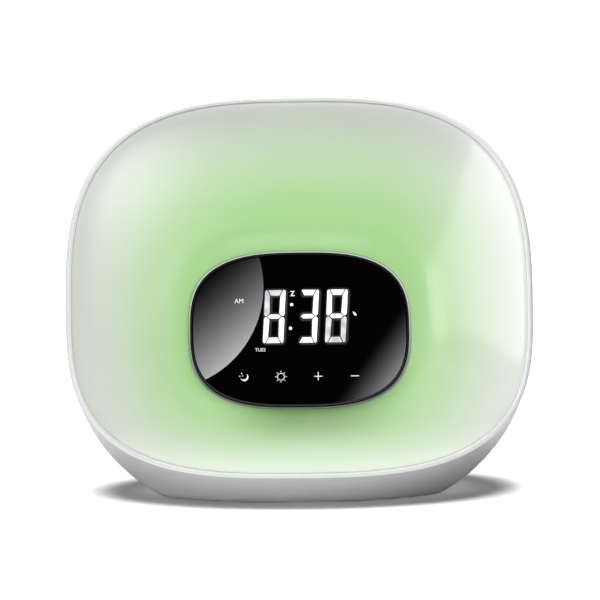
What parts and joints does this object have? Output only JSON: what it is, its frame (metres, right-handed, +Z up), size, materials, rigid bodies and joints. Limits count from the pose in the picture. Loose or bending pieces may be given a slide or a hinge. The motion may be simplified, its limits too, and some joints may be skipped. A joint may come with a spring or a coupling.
{
  "type": "sunrise alarm clock",
  "caption": "Wake-up light alarm clock with a domed glowing front, gloss black digit display, oval ring, and a pod-shaped housing with back keys, speaker and battery door.",
  "frame": {"origin": "middle of the clock's footprint box on the table surface", "axes": "+Z up, +X to the right as seen from the front, +Y to the back"},
  "size_m": [0.19, 0.0947, 0.1671],
  "materials": {
    "diffuser_opal": "opal white, glows soft green",
    "ring_white": "gloss white",
    "housing_white": "gloss white",
    "cover_white": "fine matt texture",
    "foot_rubber": "matt grey rubber",
    "lens_black": "gloss black panel",
    "trim_chrome": "bright metal",
    "carrier_black": "matt black",
    "foam_black": "closed-cell foam",
    "board_green": "solder-resist green",
    "board_white": "solder-resist white",
    "segment_white": "lit white",
    "module_black": "matt black",
    "contact_brass": "plated spring metal",
    "tray_white": "matt reflecting white",
    "led_yellow": "phosphor yellow",
    "chip_black": "moulded black",
    "capacitor_can": "sleeved can",
    "connector_ivory": "ivory nylon",
    "stem_red": "red nylon",
    "key_grey": "fine matt texture",
    "jack_black": "moulded black",
    "nickel": "nickel plated",
    "cell_steel": "brushed steel",
    "frame_steel": "black painted steel",
    "cone_paper": "coated paper",
    "magnet_grey": "sintered ferrite",
    "screw_steel": "zinc plated",
    "ribbon_grey": "flat grey cable",
    "wire_red": "red sleeve",
    "wire_black": "black sleeve"
  },
  "bodies": {
    "clock": {"front_diffuser": "diffuser_opal", "bezel_ring": "ring_white", "main_housing": "housing_white", "rear_cover": "cover_white", "rubber_feet": "foot_rubber", "display_lens": "lens_black", "lens_trim": "trim_chrome", "display_carrier": "carrier_black", "light_seal": "foam_black", "display_board": "board_green", "digit_module": "module_black", "digit_segments": "segment_white", "touch_pads": "contact_brass", "light_tray": "tray_white", "led_board": "board_white", "led_chips": "led_yellow", "main_board": "board_green", "control_chips": "chip_black", "capacitors": "capacitor_can", "connectors": "connector_ivory", "switch_bodies": "chip_black", "dc_jack": "jack_black", "jack_pin": "nickel", "battery_holder": "carrier_black", "battery_contact": "nickel", "coin_cell": "cell_steel", "speaker_frame": "frame_steel", "speaker_magnet": "magnet_grey", "speaker_gasket": "foam_black", "cover_screws": "screw_steel", "board_screws": "screw_steel", "speaker_screws": "screw_steel", "carrier_screws": "screw_steel", "display_screws": "screw_steel", "display_ribbon": "ribbon_grey", "led_cable": "wire_red", "speaker_cable": "wire_black"},
    "key_1": {"key_1": "key_grey", "switch_stem_1": "stem_red"},
    "key_2": {"key_2": "key_grey", "switch_stem_2": "stem_red"},
    "key_3": {"key_3": "key_grey", "switch_stem_3": "stem_red"},
    "key_4": {"key_4": "key_grey", "switch_stem_4": "stem_red"},
    "key_5": {"key_5": "key_grey", "switch_stem_5": "stem_red"},
    "key_6": {"key_6": "key_grey", "switch_stem_6": "stem_red"},
    "battery_door": {"battery_door": "cover_white"},
    "speaker_cone": {"speaker_cone": "cone_paper"}
  },
  "joints": [
    {"name": "key_1_press", "type": "slide", "parent": "clock", "child": "key_1", "axis": [0, -1, 0], "range_m": [0, 0.0005], "stiffness_N_per_m": 300, "springref_m": -0.0005},
    {"name": "key_2_press", "type": "slide", "parent": "clock", "child": "key_2", "axis": [0, -1, 0], "range_m": [0, 0.0005], "stiffness_N_per_m": 300, "springref_m": -0.0005},
    {"name": "key_3_press", "type": "slide", "parent": "clock", "child": "key_3", "axis": [0, -1, 0], "range_m": [0, 0.0005], "stiffness_N_per_m": 300, "springref_m": -0.0005},
    {"name": "key_4_press", "type": "slide", "parent": "clock", "child": "key_4", "axis": [0, -1, 0], "range_m": [0, 0.0005], "stiffness_N_per_m": 300, "springref_m": -0.0005},
    {"name": "key_5_press", "type": "slide", "parent": "clock", "child": "key_5", "axis": [0, -1, 0], "range_m": [0, 0.0005], "stiffness_N_per_m": 300, "springref_m": -0.0005},
    {"name": "key_6_press", "type": "slide", "parent": "clock", "child": "key_6", "axis": [0, -1, 0], "range_m": [0, 0.0005], "stiffness_N_per_m": 300, "springref_m": -0.0005},
    {"name": "battery_door_hinge", "type": "hinge", "parent": "clock", "child": "battery_door", "pos_m": [-0.02, 0.0448, 0.0272], "axis": [-1, 0, 0], "range_deg": [0, 90]},
    {"name": "speaker_cone_travel", "type": "slide", "parent": "clock", "child": "speaker_cone", "axis": [0, 1, 0], "range_m": [-0.0008, 0.0008], "stiffness_N_per_m": 800}
  ]
}
